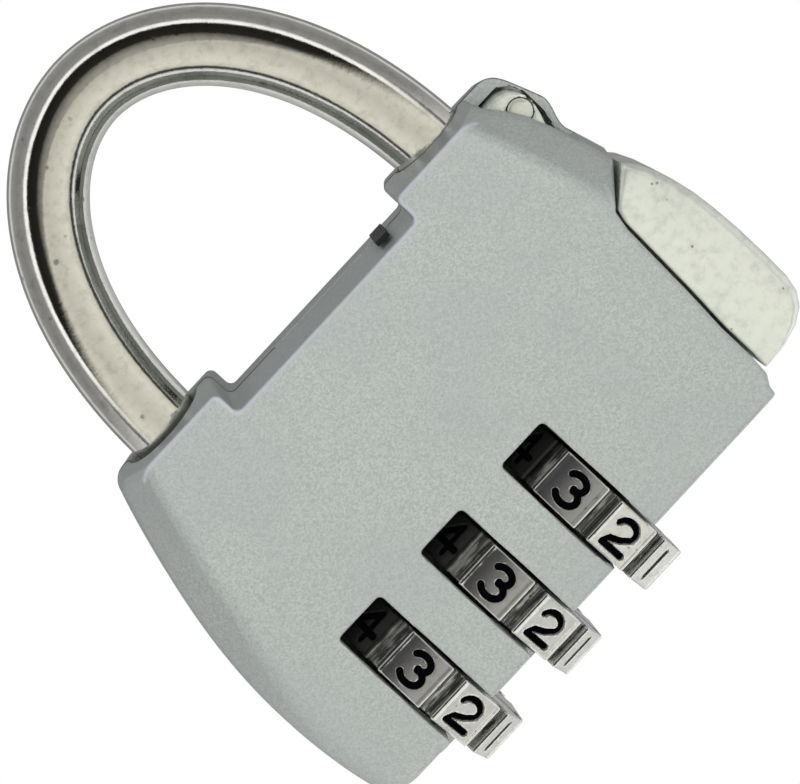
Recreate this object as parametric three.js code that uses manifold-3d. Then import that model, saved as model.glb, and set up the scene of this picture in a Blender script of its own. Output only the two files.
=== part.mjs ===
// Luggage combination padlock: a purse-shaped die-cast case with a bright
// steel shackle, a release lever let into its right side, and three number
// dials standing out of its bottom edge.
//
// Millimetres. X runs to the right, Y from the front face to the back, and Z
// up towards the shackle. The design frame has Z = 0 on the bottom edge of the
// case and Y = 0 on the plane where the two case halves meet. The whole group
// is then moved so that its origin is the centre of the flat rear face.
import * as THREE from "three";
import { mergeVertices } from "three/addons/utils/BufferGeometryUtils.js";
import Module from "manifold-3d";

const wasm = await Module();
wasm.setup();

// ---------------------------------------------------------------- dimensions
// A pair named as a span is [start, end] along one axis.
const SHOULDER_Z = 21.6; // top of the two shoulders the shackle goes into
const NOTCH_Z = 19.98; // floor of the recess between the shoulders
const NOTCH_X = 6.4; // half width of that recess
const NOTCH_ROUND = 0.75; // radius of its corners
const WALL = 1.1;
const SEAM = 0.03; // half the gap between the case halves
const REAR_CENTRE_Z = 10; // height of the rear face's centre, the origin
const THROUGH = [-9, 9]; // Y span of a cut right through the case

// The two case halves. Depths run along Y from the seam.
const FRONT = {
  sign: -1,
  depth: 6.25, // at the bottom edge
  taper: 0.035, // depth lost per mm of Z
  topRound: 0.45, // edge rounding along the top
  footRound: 0.4, // and along the bottom
  flankScale: 1,
  crown: 0.22, // how far the face falls away towards its flanks
  insideDepth: 6,
};
const REAR = {
  sign: 1,
  depth: 6.7,
  taper: 0,
  topRound: 1.3,
  footRound: 0.9,
  flankScale: 0.85,
  crown: 0,
  insideDepth: 6.5,
};

const LEG_X = 10.16; // half the distance between the shackle's legs
const HEEL = [LEG_X, 0]; // the long right leg, in X and Y
const TOE = [-LEG_X, 0]; // the short left leg
const LEG_R = 2.14;
const ARCH_Z = 21.8; // where the straight legs end and the arch begins
const ARCH_RISE = 14.5;
const ARCH_POWER = 0.97; // 1 would make the arch a true half ellipse
const TOE_END_Z = 15.2;
const HEEL_END_Z = 8.6;
const TOE_HOLE_R = 2.5;
const HEEL_HOLE_R = 2.24;
const WELL_FLOOR_Z = 1.9; // floor below the heel leg

const DIAL_X = [-10.2, -4.06, 2.06]; // middle of each dial
const GAP_X = [-7.13, -1.0]; // middle of each gap between the dials
const DIAL_W = 2.75;
const DIAL_FLAT = 5.92; // axis to the flat a number stands on
const DIAL_GROOVE_R = 5.58;
const DIGITS = 10;
const AXIS_Y = -0.1;
const AXIS_Z = 2.85;
const AXIS = [AXIS_Y, AXIS_Z];
const WINDOW_W = 3.16;
const WINDOW_TOP = 7.9;
const DIAL_PHASE = [-10, -10, -14.5]; // degrees; the right dial stands off its click

const AXLE_R = 1.0;
const SLEEVE_R = 2.3;
const HUB_R = 1.75; // the sleeve's narrower ends
const FLANGE_R = 3.6;
const FLANGE_AT = 2.6; // from the middle of the dial to the gate flange
const FLANGE_T = 0.5;

const PIVOT = [14.55, 19.2]; // release lever's pivot, X and Z
const PIVOT_R = 0.66;
const PEG_X = 13.3; // peg on the lever that draws the locking bar
const PEG_Z = 11.2;
const BAR_Y = [2.85, 3.5]; // locking bar, a flat plate behind the heel leg
const BAR_Z = [10.45, 12.6];
const BAR_ROOM_Y = [2.5, 3.75];
const STRIP_Z = [10.3, 10.6]; // detent strip

const RIVETS = [
  [-14.0, 10.4], [-4.4, 16.7], [1.6, 15.6],
]; // X, Z

// ------------------------------------------------------------------- helpers
const rad = (degrees) => (degrees * Math.PI) / 180;

function toSolid(geometry) {
  const bare = geometry.clone();
  bare.deleteAttribute("normal");
  bare.deleteAttribute("uv");
  const merged = mergeVertices(bare, 1e-4);
  return new wasm.Manifold(
    new wasm.Mesh({
      numProp: 3,
      vertProperties: new Float32Array(merged.attributes.position.array),
      triVerts: new Uint32Array(merged.index.array),
    }),
  );
}

function toGeometry(solid) {
  const { numVert, numProp, vertProperties, triVerts } = solid.getMesh();
  const positions = new Float32Array(numVert * 3);
  for (let i = 0; i < numVert; i++) {
    positions.set(vertProperties.subarray(i * numProp, i * numProp + 3), i * 3);
  }
  const geometry = new THREE.BufferGeometry();
  geometry.setAttribute("position", new THREE.BufferAttribute(positions, 3));
  geometry.setIndex(new THREE.BufferAttribute(new Uint32Array(triVerts), 1));
  geometry.computeVertexNormals();
  return geometry;
}

const join = (...solids) => solids.reduce((a, b) => a.add(b));
const cut = (solid, ...tools) => tools.reduce((a, b) => a.subtract(b), solid);
const turned = (solid, degrees) => solid.rotate([degrees, 0, 0]);
const around = (middle, half) => [middle - half, middle + half];

// A block given by its spans.
function box([x0, x1], [y0, y1], [z0, z1]) {
  const geometry = new THREE.BoxGeometry(x1 - x0, y1 - y0, z1 - z0);
  geometry.translate((x0 + x1) / 2, (y0 + y1) / 2, (z0 + z1) / 2);
  return toSolid(geometry);
}

// A round bar along one axis. The centre holds the other two coordinates.
function rod(axis, radius, [start, end], [c1, c2], segments) {
  const geometry = new THREE.CylinderGeometry(radius, radius, end - start, segments);
  geometry.translate(0, (start + end) / 2, 0); // along +Y
  if (axis === "x") {
    geometry.rotateZ(-Math.PI / 2); // +Y to +X
    geometry.translate(0, c1, c2);
  } else if (axis === "y") {
    geometry.translate(c1, 0, c2);
  } else {
    geometry.rotateX(Math.PI / 2); // +Y to +Z
    geometry.translate(c1, c2, 0);
  }
  return toSolid(geometry);
}

function extrude(outline, depth) {
  const shape = new THREE.Shape(outline.map(([u, v]) => new THREE.Vector2(u, v)));
  return new THREE.ExtrudeGeometry(shape, { depth, bevelEnabled: false });
}

// An outline in X and Z, thickened along Y.
function plate(outline, [y0, y1]) {
  const geometry = extrude(outline, y1 - y0);
  geometry.rotateX(Math.PI / 2);
  geometry.translate(0, y1, 0);
  return toSolid(geometry);
}

// An outline in Y and Z, thickened along X.
function disc(outline, [x0, x1]) {
  const geometry = extrude(outline, x1 - x0);
  // outline and depth (y, z, x) to (x, y, z), a turn that keeps handedness
  geometry.applyMatrix4(
    new THREE.Matrix4().set(0, 0, 1, x0, 1, 0, 0, 0, 0, 1, 0, 0, 0, 0, 0, 1),
  );
  return toSolid(geometry);
}

// Skins over sections of equal length, each a closed ring of [x, y] at its z.
function loft(sections) {
  const count = sections[0].ring.length;
  const positions = sections.flatMap(({ z, ring }) => ring.flatMap(([x, y]) => [x, y, z]));
  const faces = [];
  for (let row = 0; row + 1 < sections.length; row++) {
    for (let i = 0; i < count; i++) {
      const a = row * count + i;
      const b = row * count + ((i + 1) % count);
      faces.push([a, b, b + count], [a, b + count, a + count]);
    }
  }
  const top = (sections.length - 1) * count;
  for (let i = 1; i + 1 < count; i++) {
    faces.push([0, i + 1, i], [top, top + i, top + i + 1]);
  }
  const geometry = new THREE.BufferGeometry();
  geometry.setAttribute("position", new THREE.Float32BufferAttribute(positions, 3));
  geometry.setIndex(faces.flat());
  const solid = toSolid(geometry);
  if (solid.volume() > 0) return solid;
  // Clockwise rings come out inside out, so their faces are turned over.
  geometry.setIndex(faces.flatMap(([a, b, c]) => [a, c, b]));
  return toSolid(geometry);
}

// Linear interpolation in a table of [position, value].
function lookUp(table, at) {
  if (at <= table[0][0]) return table[0][1];
  for (let i = 1; i < table.length; i++) {
    if (at <= table[i][0]) {
      const [a, p] = table[i - 1];
      const [b, q] = table[i];
      return p + ((q - p) * (at - a)) / (b - a);
    }
  }
  return table[table.length - 1][1];
}

// Completes a left-hand outline with its mirror image in X.
const withMirror = (left) => [...left, ...left.map(([x, other]) => [-x, other]).reverse()];

function tube(points, radius, sides, steps) {
  const section = [];
  for (let i = 0; i < sides; i++) {
    const angle = (2 * Math.PI * i) / sides;
    section.push(new THREE.Vector2(radius * Math.cos(angle), radius * Math.sin(angle)));
  }
  return toSolid(
    new THREE.ExtrudeGeometry(new THREE.Shape(section), {
      steps,
      bevelEnabled: false,
      extrudePath: new THREE.CatmullRomCurve3(points, false, "centripetal"),
    }),
  );
}

// A round-wire compression spring along X or Z; wire is the wire's radius.
function coil({ axis, centre: [c1, c2], span: [start, end], radius, wire, turns }) {
  const points = [];
  const steps = Math.round(turns * 10);
  for (let i = 0; i <= steps; i++) {
    const t = i / steps;
    const angle = 2 * Math.PI * turns * t;
    const along = start + wire + (end - start - 2 * wire) * t;
    const u = c1 + radius * Math.cos(angle);
    const v = c2 + radius * Math.sin(angle);
    points.push(
      axis === "z" ? new THREE.Vector3(u, v, along) : new THREE.Vector3(along, u, v),
    );
  }
  return tube(points, wire, 5, steps);
}

// ------------------------------------------------------------- case envelope
// Z, half width of the case at the plane where the halves meet.
const HALF_WIDTH = [
  [0, 14.7], [0.12, 15.3], [0.5, 16.1], [1.1, 16.66], [2.0, 16.93], [3.2, 17.08],
  [5.0, 17.2], [7.1, 17.24], [9.2, 17.12], [11.3, 16.85], [13.4, 16.46], [15.5, 15.98],
  [17.3, 15.46], [19.0, 14.96], [20.5, 14.48], [21.2, 14.22], [21.6, 13.8],
];
// Z, how far the rear half bulges to the right round the lever's head.
const BULGE = [
  [16.5, 0], [17.1, 0.25], [17.8, 0.68], [18.4, 0.9], [19.2, 1.0], [20.6, 1.0], [21.6, 0.85],
];
// Z, width of the sloping flank in X.
const FLANK_WIDTH = [
  [0, 0.9], [5, 1.1], [9, 1.9], [13, 2.4], [21.6, 2.1],
];
// Z, depth of the sloping flank in Y.
const FLANK_DEPTH = [
  [0, 0.7], [5, 0.8], [9, 1.4], [13, 2.1], [21.6, 2.9],
];
// Z of the lofted sections.
const SECTION_Z = [
  0, 0.12, 0.3, 0.6, 1.1, 2, 3.5, 5.5, 7.5, 9.5, 11.5, 13.5, 15.5, 16.5, 17.1, 17.8, 18.4,
  19.2, 20.5, 21.1, 21.4, 21.6,
];

// Y span of one half, from near to far off the seam plane.
const halfSpan = (half, near, far) => (half === FRONT ? [-far, -near] : [near, far]);

// Depth lost to a rounded edge, by the distance past the rounding's start.
function edgeLoss(radius, past) {
  const reach = Math.max(0, past);
  return radius - Math.sqrt(Math.max(0, radius * radius - reach * reach));
}

function caseRing(z, half, inset) {
  const width = lookUp(HALF_WIDTH, z) - inset;
  const flank = lookUp(FLANK_WIDTH, z) - 0.4 * inset;
  const drop = lookUp(FLANK_DEPTH, z) * half.flankScale;
  const { crown, topRound, footRound } = half;
  let depth = half.depth - half.taper * z;
  depth -= edgeLoss(topRound, z - (SHOULDER_Z - topRound));
  depth -= edgeLoss(footRound, footRound - z);
  depth -= inset;
  const face = width - flank; // half width of the nearly flat face
  const outline = withMirror([
    [-width, 0],
    [-width, depth - drop],
    [-face - 0.3 * flank, depth - 0.22 * drop - crown],
    [-face, depth - crown],
    [-face * 0.66, depth - crown * 0.45],
    [-face * 0.33, depth - crown * 0.1],
  ]);
  const bulge = half === REAR ? lookUp(BULGE, z) : 0;
  return outline.map(([x, y]) => [x + (x > face * 0.9 ? bulge : 0), half.sign * y]);
}

function envelope(half, inset = 0, z0 = 0, z1 = SHOULDER_Z) {
  const between = SECTION_Z.filter((z) => z > z0 + 0.05 && z < z1 - 0.05);
  return loft([z0, ...between, z1].map((z) => ({ z, ring: caseRing(z, half, inset) })));
}

// Recess between the shoulders, with rounded corners.
function notchOutline() {
  const round = NOTCH_ROUND;
  const left = [
    [-NOTCH_X - round, 24],
    [-NOTCH_X - round, SHOULDER_Z + 0.001],
  ];
  const corner = (x, z, degrees) => {
    const angle = rad(degrees);
    left.push([x + round * Math.cos(angle), z + round * Math.sin(angle)]);
  };
  for (let i = 1; i <= 4; i++) corner(-NOTCH_X - round, SHOULDER_Z - round, 90 - 22.5 * i);
  for (let i = 0; i <= 4; i++) corner(-NOTCH_X + round, NOTCH_Z + round, 180 + 22.5 * i);
  return withMirror(left);
}

// X, Z. The right side is cut away for the lever: a nearly straight face that
// leans in towards the bottom, with a slanting top.
const LEVER_CUT = [
  [14.05, 12.45], [16.2, 14.25], [19, 14.25], [19, -1], [12.75, -1], [12.9, 0.4],
  [13.3, 1.0], [13.4, 2.2], [13.42, 4.3], [13.6, 6.8], [13.72, 9.4], [13.82, 11.4],
];
// X, Z. Only the front half loses the corner in front of the lever's head.
const HEAD_CUT = [
  [13.0, 21.7], [13.1, 21.1], [14.05, 19.75], [14.5, 18.95], [14.85, 18.1], [15.12, 17.5],
  [15.3, 17.0], [15.45, 16.2], [17, 16.2], [17, 22.4], [13.0, 22.4],
];
// X, Z. Space for the lever's head and arm.
const LEVER_ROOM = [
  [12.55, 20.3], [12.55, 4.2], [19, 4.2], [19, 12.4], [15.6, 12.6], [15.2, 14.0],
  [14.85, 15.6], [14.95, 16.5], [15.2, 17.1], [15.4, 17.7], [15.47, 18.4], [15.47, 19.5],
  [15.2, 20.25], [14.6, 20.72], [12.8, 20.72],
];

// ---------------------------------------------------------------- case halves
// The cavity behind the wall, kept below the recess floor between the legs.
function hollow(half) {
  return cut(
    envelope(half, WALL, 1.05, 20.5),
    box([12.5, 20], THROUGH, [0, 12.6]),
    box(around(0, NOTCH_X + 1.1), THROUGH, [NOTCH_Z - 1.2, 23]),
  );
}

// Solids that stand inside both halves: guides, bearings and rivet posts.
function inside(half) {
  const y = halfSpan(half, 0, half.insideDepth);
  return join(
    box(around(-LEG_X, 3.3), y, [13.2, SHOULDER_Z]), // toe socket
    box([LEG_X - 3.3, LEG_X + 2.5], y, [16.3, SHOULDER_Z]), // heel guide
    box([LEG_X - 3.2, LEG_X - 2.35], y, [0.5, 16.3]), // heel well, inner wall
    box([LEG_X - 2.4, LEG_X + 4.2], y, [0.5, WELL_FLOOR_Z]), // well floor
    box([-16.8, -14.55], y, [1, 6.4]), // left axle bearing
    ...RIVETS.map((place) => rod("y", 1.25, y, place, 20)),
  ).intersect(envelope(half, 0.2, 0.2, SHOULDER_Z - 0.2));
}

// The underside bulges below the bottom edge to cover the axle's gate flanges.
function belly(half) {
  return rod("x", FLANGE_R + 0.62, [-13.2, 5.6], AXIS, 40).intersect(
    box([-20, 20], halfSpan(half, 0, 4.4), [-3, 2.5]),
  );
}

function dialRoom() {
  return join(
    ...DIAL_X.map((x) => rod("x", 6.3, around(x, WINDOW_W / 2), AXIS, 40)),
    rod("x", FLANGE_R + 0.2, [-12.8, 5.25], AXIS, 36),
    rod("x", 2.2, [-14.5, 7.0], AXIS, 32),
  );
}

// Slot in the recess floor and the shaft below it, for the reset slider.
function resetRoom() {
  return join(
    box([-3.2, 5.5], [-0.3, 0.3], [17.0, 21]),
    box([3.2, 7.1], [-2.5, 2.5], [16.3, 17.9]),
    box([4.3, 7.1], [-2.5, 2.5], [0.75, 17.9]),
  );
}

function frontDetails(shell) {
  let solid = cut(
    shell,
    plate(HEAD_CUT, THROUGH),
    ...DIAL_X.map((x) => box(around(x, WINDOW_W / 2), [-9, 0], [-3, WINDOW_TOP])),
    ...RIVETS.map((place) => rod("y", 0.62, [-4.4, 1], place, 16)),
  );
  // Two forked seats between the dials hold the detent strip.
  for (const x of GAP_X) {
    solid = join(
      solid,
      box(around(x, 0.7), [-5.1, -1.9], [9.3, STRIP_Z[0] - 0.06]),
      box(around(x, 0.7), [-5.1, -1.9], [STRIP_Z[1] + 0.06, 11.4]),
    );
  }
  return solid;
}

function rearDetails(shell) {
  let solid = cut(
    shell,
    box([-12.6, 15.0], BAR_ROOM_Y, [10.2, 13.0]), // locking bar
    box([-9.2, 7.2], BAR_ROOM_Y, [3.3, 13.0]), // its fingers
    box([-9.2, -0.6], [2.0, 4.2], [12.6, 15.4]), // its spring
    box([12.4, 15.0], [2.0, 3.75], [10.2, 12.4]), // the lever's peg
    rod("y", PIVOT_R + 0.04, [0, 4.1], PIVOT, 24),
  );
  solid = join(solid, box([-0.9, -0.1], [1.9, 6.0], [13.1, 16.0])); // stop for the bar's spring
  for (const place of RIVETS) {
    solid = cut(
      solid,
      rod("y", 0.74, [-1, 9], place, 16),
      rod("y", 1.22, [6.18, 9], place, 24),
    );
  }
  return solid;
}

function caseHalf(half) {
  let solid = cut(envelope(half), hollow(half));
  solid = join(solid, inside(half), belly(half));
  solid = cut(solid, plate(notchOutline(), THROUGH), plate(LEVER_CUT, THROUGH));
  solid = solid.intersect(box([-20, 20], halfSpan(half, SEAM, 9), [-2, 24]));
  solid = cut(
    solid,
    dialRoom(),
    rod("z", HEEL_HOLE_R, [WELL_FLOOR_Z, 23], HEEL, 40),
    rod("z", TOE_HOLE_R, [TOE_END_Z - 0.6, 23], TOE, 40),
    plate(LEVER_ROOM, [-2.35, 2.35]),
    rod("x", AXLE_R + 0.06, [-16.45, 8.6], AXIS, 28),
    resetRoom(),
    box([11.3, 13.0], [-1.8, 1.8], [15.9, 19.0]), // catch spring
    rod("z", 3.0, [HEEL_END_Z - 0.6, 16.3], HEEL, 32), // heel stop ring
    box([-12.2, 5.4], [-3.3, 2.3], [8.2, 11.1]), // detent strip
  );
  return half === FRONT ? frontDetails(solid) : rearDetails(solid);
}

// A flat head sunk in the rear face and a shank into the front post.
function rivet(place) {
  return join(
    rod("y", 0.56, [-4.2, 6.4], place, 16),
    rod("y", 1.14, [6.24, 6.66], place, 24),
  );
}

// ------------------------------------------------------------------- shackle
// Radius and Z of the ring that rounds off the toe's end.
const TOE_ROUNDING = [
  [0, -0.5], [3, -0.5], [3, 1.6], [2.75, 1.6], [1.3, 0.3], [0, 0.3], [0, -0.5],
];

// Two straight legs joined by a tall arch.
function shacklePath() {
  const points = [TOE_END_Z, 18.5].map((z) => new THREE.Vector3(-LEG_X, 0, z));
  for (let i = 0; i <= 22; i++) {
    const angle = Math.PI - (Math.PI * i) / 22;
    const cos = Math.cos(angle);
    const x = LEG_X * Math.sign(cos) * Math.pow(Math.abs(cos), ARCH_POWER);
    const z = ARCH_Z + ARCH_RISE * Math.pow(Math.sin(angle), ARCH_POWER);
    points.push(new THREE.Vector3(x, 0, z));
  }
  for (const z of [16, 12, HEEL_END_Z]) points.push(new THREE.Vector3(LEG_X, 0, z));
  return points;
}

function shackle() {
  const rounding = new THREE.LatheGeometry(
    TOE_ROUNDING.map(([radius, z]) => new THREE.Vector2(radius, z)),
    20,
  );
  rounding.rotateX(Math.PI / 2);
  rounding.translate(-LEG_X, 0, TOE_END_Z);
  const catchNotch = box([LEG_X + LEG_R - 0.62, LEG_X + 3], [-3, 3], [16.2, 18.1]);
  const ringGroove = cut(
    rod("z", 3.2, [HEEL_END_Z + 0.6, HEEL_END_Z + 1.2], HEEL, 24),
    rod("z", 1.6, [HEEL_END_Z, HEEL_END_Z + 2], HEEL, 24),
  );
  return cut(tube(shacklePath(), LEG_R, 20, 54), toSolid(rounding), catchNotch, ringGroove);
}

// Split ring, open to the front.
function heelStopRing() {
  return cut(
    rod("z", 2.62, [HEEL_END_Z + 0.66, HEEL_END_Z + 1.14], HEEL, 28),
    rod("z", 1.66, [0, 20], HEEL, 24),
    box(around(LEG_X, 0.55), [-3.2, -1], [5, 12]),
  );
}

// Stands under the heel leg.
function shackleSpring() {
  return coil({
    axis: "z",
    centre: HEEL,
    span: [WELL_FLOOR_Z + 0.05, HEEL_END_Z - 0.03],
    radius: 1.55,
    wire: 0.24,
    turns: 6,
  });
}

// ------------------------------------------------------------- release lever
// X, Z of the head round the pivot and the arm inside the case.
const LEVER_HEAD = [
  [13.15, 20.45], [13.45, 20.58], [14.3, 20.58], [14.85, 20.35], [15.2, 19.9],
  [15.36, 19.45], [15.38, 19.1], [15.2, 18.4], [14.9, 17.6], [14.45, 16.9], [13.95, 16.5],
  [13.6, 15.9], [13.6, 12.6], [15.3, 11.8], [15.3, 4.6], [12.95, 4.6], [12.95, 20.2],
];
// X, Z of the thumb piece.
const THUMB = [
  [14.0, 11.65], [14.2, 12.35], [16.1, 13.85], [16.55, 13.3], [16.98, 12.35], [17.3, 11.3],
  [17.56, 10.0], [17.7, 8.6], [17.78, 7.0], [17.78, 5.0], [17.72, 3.4], [17.5, 2.5],
  [17.0, 1.85], [16.2, 1.42], [15.0, 1.2], [13.5, 1.12], [13.58, 2.2], [13.6, 4.3],
  [13.78, 6.8], [13.9, 9.4],
];
// X, Y of the cut that slopes the thumb piece's rear shoulder; the front mirrors it.
const THUMB_SLOPE = [
  [13.0, 6.15], [16.0, 5.3], [17.3, 3.9], [17.9, 2.4], [19.5, 2.4], [19.5, 8], [13.0, 8],
];
// X, Z of the bent catch spring.
const CATCH = [
  [13.36, 18.03], [13.36, 18.54], [12.55, 18.54], [11.88, 16.85], [12.2, 16.5],
  [12.84, 18.03],
];

function thumbSlope({ sign }) {
  const geometry = extrude(THUMB_SLOPE.map(([x, y]) => [x, sign * y]), 16);
  geometry.translate(0, 0, -1);
  return toSolid(geometry);
}

function releaseLever() {
  const thumb = cut(
    plate(THUMB, [-5.35, 5.2]),
    thumbSlope(FRONT),
    thumbSlope(REAR),
    box([13, 14.8], [2.6, 3.8], [10.0, 13.0]), // pocket for the locking bar's end
  );
  const body = cut(
    join(plate(LEVER_HEAD, [-2.15, 2.15]), thumb),
    rod("y", PIVOT_R + 0.05, [-4, 4], PIVOT, 24),
    box([12.0, 13.42], [-1.6, 1.6], [17.96, 18.61]), // slot for the catch spring's root
  );
  return join(body, rod("y", 0.6, [2.0, 3.6], [PEG_X, PEG_Z], 20));
}

// --------------------------------------------------------------- locking bar
// A flat plate with a finger beside each gate flange.
function lockingBar() {
  const fingers = DIAL_X.map((x) =>
    box([x + 1.75, x + 2.35], BAR_Y, [3.85, BAR_Z[0] + 0.2]),
  );
  const springTab = box([-6.4, -5.7], BAR_Y, [BAR_Z[1] - 0.2, 14.7]);
  const pegHole = box(around(PEG_X, 0.72), [2, 4], [PEG_Z - 0.85, PEG_Z + 0.75]);
  return cut(
    join(box([DIAL_X[0] + 1.6, 14.35], BAR_Y, BAR_Z), ...fingers, springTab),
    pegHole,
  );
}

function barSpring() {
  return coil({
    axis: "x",
    centre: [3.1, 13.85],
    span: [-5.66, -0.94],
    radius: 0.58,
    wire: 0.15,
    turns: 7.5,
  });
}

// --------------------------------------------------------------------- dials
// Repeats a profile of [angle, radius] once per digit. The outline runs from +Y
// towards +Z, or with start -1 from the front (-Y) towards the bottom (-Z).
function perDigit(profile, start) {
  const outline = [];
  for (let k = 0; k < DIGITS; k++) {
    const angle = rad((360 / DIGITS) * k);
    for (const [offset, radius] of profile) {
      const r = start * radius;
      outline.push([r * Math.cos(angle + offset), r * Math.sin(angle + offset)]);
    }
  }
  return outline;
}

// Ten flats with a groove between each two.
function dialOutline() {
  const edge = rad(13.7);
  const edgeR = DIAL_FLAT / Math.cos(edge);
  return perDigit(
    [
      [-edge, edgeR],
      [edge, edgeR],
      [rad(16.2), DIAL_GROOVE_R],
      [rad(19.8), DIAL_GROOVE_R],
    ],
    -1,
  );
}

function splineOutline() {
  const boreR = SLEEVE_R + 0.09;
  const grooveR = 2.98;
  const half = rad(6.5);
  const flare = rad(2);
  return perDigit(
    [
      [-half - flare, boreR],
      [-half, grooveR],
      [half, grooveR],
      [half + flare, boreR],
      [rad(180 / DIGITS), boreR],
    ],
    1,
  );
}

// A splined bore to the right and a plain wider bore to the left.
function dialWheel(x, i) {
  const wheel = cut(
    disc(dialOutline(), around(0, DIAL_W / 2)),
    rod("x", 3.15, [-DIAL_W / 2 - 1, -0.02], [0, 0], 36),
    disc(splineOutline(), [-1, DIAL_W / 2 + 1]),
  );
  return turned(wheel, DIAL_PHASE[i]).translate([x, ...AXIS]);
}

// A tube on the axle with two lugs for the dial's splines and a flange with one
// gate. The first sleeve's left end is shorter.
function codeSleeve(x, i) {
  const lug = (degrees) => turned(box([0.14, 0.98], [2.0, 2.86], [-0.26, 0.26]), degrees);
  const body = join(
    rod("x", SLEEVE_R, [-0.06, FLANGE_AT + 0.1], [0, 0], 30),
    rod("x", HUB_R, [i === 0 ? -1.5 : -2.94, 0.1], [0, 0], 24),
    rod("x", FLANGE_R, [FLANGE_AT, FLANGE_AT + FLANGE_T], [0, 0], 36),
    rod("x", HUB_R, [FLANGE_AT, 3.12], [0, 0], 24),
    lug(0),
    lug(180),
  );
  // The gate: a slot in the flange's rim, square to the locking bar's finger.
  const gate = box([FLANGE_AT - 0.05, FLANGE_AT + FLANGE_T + 0.05], [2.79, 3.76], [0.6, 5]);
  return cut(
    turned(body, DIAL_PHASE[i]),
    gate,
    rod("x", AXLE_R + 0.05, [-5, 5], [0, 0], 24),
  ).translate([x, ...AXIS]);
}

// ------------------------------------------------------------ axle and reset
// A collar at the left end and a groove near the right end.
function dialAxle() {
  const groove = cut(
    rod("x", 2, [6.52, 6.88], AXIS, 24),
    rod("x", 0.75, [6, 8], AXIS, 20),
  );
  return cut(
    join(
      rod("x", AXLE_R, [-15.2, 8.2], AXIS, 24),
      rod("x", 1.7, [-12.2, -11.76], AXIS, 24),
    ),
    groove,
  );
}

function resetSpring() {
  return coil({
    axis: "x",
    centre: AXIS,
    span: [-14.52, -12.23],
    radius: 1.32,
    wire: 0.17,
    turns: 3,
  });
}

// Split ring in the axle's groove, open to the bottom.
function axleStopRing() {
  return cut(
    rod("x", 1.7, [6.56, 6.84], AXIS, 24),
    rod("x", 0.8, [6, 8], AXIS, 20),
    box([6, 8], around(AXIS_Y, 0.4), [AXIS_Z - 3, AXIS_Z]),
  );
}

// A tab in the top slot on a leg that reaches down to the axle.
function resetSlider() {
  return cut(
    join(
      box([4.5, 5.3], [-0.25, 0.25], [17.0, 20.1]), // neck
      box([4.47, 5.32], [-4.1, 0.6], [20.02, 20.28]), // tab
      box([4.6, 6.4], [-2.2, 2.2], [16.6, 17.6]), // bridge
      box([5.72, 6.4], [-2.2, 2.2], [1.1, 17.2]), // leg
    ),
    rod("x", AXLE_R + 0.04, [5.5, 7], AXIS, 28),
  );
}

// A flat spring above the dials with one finger for each.
function detentStrip() {
  const rootZ = 10.42;
  const fingers = DIAL_X.flatMap((x, i) => {
    const lift = i === 2 ? 0.42 : 0; // the right dial, off its click, lifts its finger
    const tipZ = AXIS_Z + 5.62 + lift;
    const wedge = [
      [AXIS_Y + 0.42, rootZ],
      [AXIS_Y + 0.92, tipZ],
      [AXIS_Y + 1.12, tipZ],
      [AXIS_Y + 1.62, rootZ],
    ];
    return [box(around(x, 0.6), [-1.8, 1.9], STRIP_Z), disc(wedge, around(x, 0.55))];
  });
  return join(box([-11.9, 4.0], [-3.1, -1.7], STRIP_Z), ...fingers);
}

// ------------------------------------------------------------------ assembly
const finish = (color, roughness, metalness) =>
  new THREE.MeshStandardMaterial({ color, roughness, metalness });
// Colour, roughness, metalness.
const materials = {
  paint: finish(0xbcc0c0, 0.5, 0.35),
  chrome: finish(0xdedcd4, 0.12, 1),
  dial: finish(0xd2d2ce, 0.2, 1),
  steel: finish(0x9b9da0, 0.35, 1),
  spring: finish(0x7f8386, 0.3, 1),
  brass: finish(0xb8923f, 0.35, 1),
  black: finish(0x17181a, 0.5, 0),
};

const lock = new THREE.Group();
lock.position.set(0, -REAR.depth, -REAR_CENTRE_Z);

function add(name, solid, material) {
  const mesh = new THREE.Mesh(toGeometry(solid), material);
  mesh.name = name;
  lock.add(mesh);
}

const { paint, chrome, dial, steel, spring, brass, black } = materials;
add("front_case", caseHalf(FRONT), paint);
add("rear_case", caseHalf(REAR), paint);
RIVETS.forEach((place, i) => add(`case_rivet_${i + 1}`, rivet(place), steel));
add("shackle", shackle(), chrome);
add("heel_stop_ring", heelStopRing(), spring);
add("shackle_spring", shackleSpring(), spring);
add("release_lever", releaseLever(), chrome);
add("lever_pivot_pin", rod("y", PIVOT_R, [-2.25, 4.0], PIVOT, 24), steel);
add("catch_spring", plate(CATCH, [-1.5, 1.5]), spring);
add("locking_bar", lockingBar(), steel);
add("bar_spring", barSpring(), spring);
DIAL_X.forEach((x, i) => add(`dial_wheel_${i + 1}`, dialWheel(x, i), dial));
DIAL_X.forEach((x, i) => add(`code_sleeve_${i + 1}`, codeSleeve(x, i), brass));
add("dial_axle", dialAxle(), steel);
add("reset_spring", resetSpring(), spring);
add("axle_stop_ring", axleStopRing(), spring);
add("reset_slider", resetSlider(), black);
add("detent_strip", detentStrip(), spring);

export default lock;
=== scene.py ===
"""A three-dial combination padlock with a side release lever, and its studio.

Pieces are drawn in millimetres in a design frame: X runs across the lock with the
lever at +X, the front with its dial windows faces -Y, and the shackle points up +Z.
Y = 0 is where the case halves meet and Z = 0 is the case's bottom edge. row() turns
this into metres in the scene, where Y = 0 is the rear face.
"""

import functools
import math

import bmesh
import bpy
import numpy as np
from mathutils import Matrix, Vector


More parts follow.
